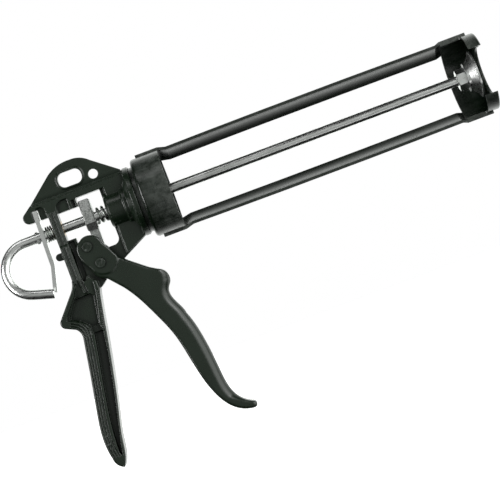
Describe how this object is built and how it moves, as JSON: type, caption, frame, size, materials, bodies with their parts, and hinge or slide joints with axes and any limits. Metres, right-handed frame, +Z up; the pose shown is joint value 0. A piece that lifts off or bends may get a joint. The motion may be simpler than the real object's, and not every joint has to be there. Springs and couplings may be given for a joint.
{
  "type": "caulking gun",
  "caption": "Skeleton caulking gun for standard sealant cartridges: swivelling open cradle, push rod with dished piston and hook, sprung drive and catch plates, cast handle and trigger.",
  "frame": {"origin": "on the push rod's axis, in the plane of the rear cup's floor that a cartridge seats on", "axes": "+X forward along the push rod, from the hook to the nozzle slot; +Z up, towards the hanging fin; +Y across, away from the side the cartridge is loaded from"},
  "size_m": [0.3573, 0.0552, 0.2084],
  "materials": {
    "black_casting": "satin black paint on die-cast metal",
    "black_sheet": "satin black paint on pressed steel sheet",
    "plated_steel": "bright zinc or nickel plate",
    "spring_steel": "dark drawn spring wire",
    "sintered_steel": "plated steel with a fine grain",
    "bronze_bush": "plain oiled bronze",
    "black_pin": "blackened steel rivet"
  },
  "bodies": {
    "body": {"body_casting": "black_casting", "rear_bush": "bronze_bush", "front_bush": "bronze_bush", "collar_washer": "black_sheet", "swivel_washer": "plated_steel", "swivel_ring": "spring_steel", "pivot_pin": "black_pin", "catch_spring": "spring_steel", "drive_spring": "spring_steel"},
    "cradle": {"rear_cup": "black_sheet", "strap_upper": "black_sheet", "strap_lower": "black_sheet", "front_cap": "black_sheet"},
    "rod": {"push_rod": "plated_steel", "rod_nut": "plated_steel", "piston_washer": "plated_steel", "piston": "plated_steel", "piston_jam_nut": "plated_steel"},
    "catch": {"catch_plate": "plated_steel"},
    "drive": {"drive_block": "sintered_steel"},
    "trigger_lever": {"trigger": "black_casting", "pusher_pin": "black_pin"},
    "roller": {"pusher_roller": "sintered_steel"}
  },
  "joints": [
    {"name": "cradle_spin", "type": "hinge", "parent": "body", "child": "cradle", "pos_m": [0, 0, 0], "axis": [1, 0, 0], "continuous": true},
    {"name": "rod_slide", "type": "slide", "parent": "body", "child": "rod", "axis": [1, 0, 0], "range_m": [-0.22, 0]},
    {"name": "trigger_pull", "type": "hinge", "parent": "body", "child": "trigger_lever", "pos_m": [-0.0433, 0, -0.0307], "axis": [0, 1, 0], "range_deg": [0, 30], "stiffness_Nm_per_rad": 0.5, "springref_deg": -20.05},
    {"name": "roller_spin", "type": "hinge", "parent": "trigger_lever", "child": "roller", "pos_m": [-0.0481, 0, -0.0175], "axis": [0, 1, 0], "continuous": true},
    {"name": "drive_slide", "type": "slide", "parent": "body", "child": "drive", "axis": [1, 0, 0], "range_m": [0, 0.0075], "deforming": ["drive_spring"]},
    {"name": "catch_release", "type": "hinge", "parent": "body", "child": "catch", "pos_m": [-0.0733, 0, 0.0172], "axis": [0, -1, 0], "range_deg": [0, 2.5], "stiffness_Nm_per_rad": 0.5, "springref_deg": -11.46, "deforming": ["catch_spring"]}
  ],
  "couplings": [
    {"joint": "drive_slide", "follows": "trigger_pull", "m_per_rad": 0.01383}
  ]
}
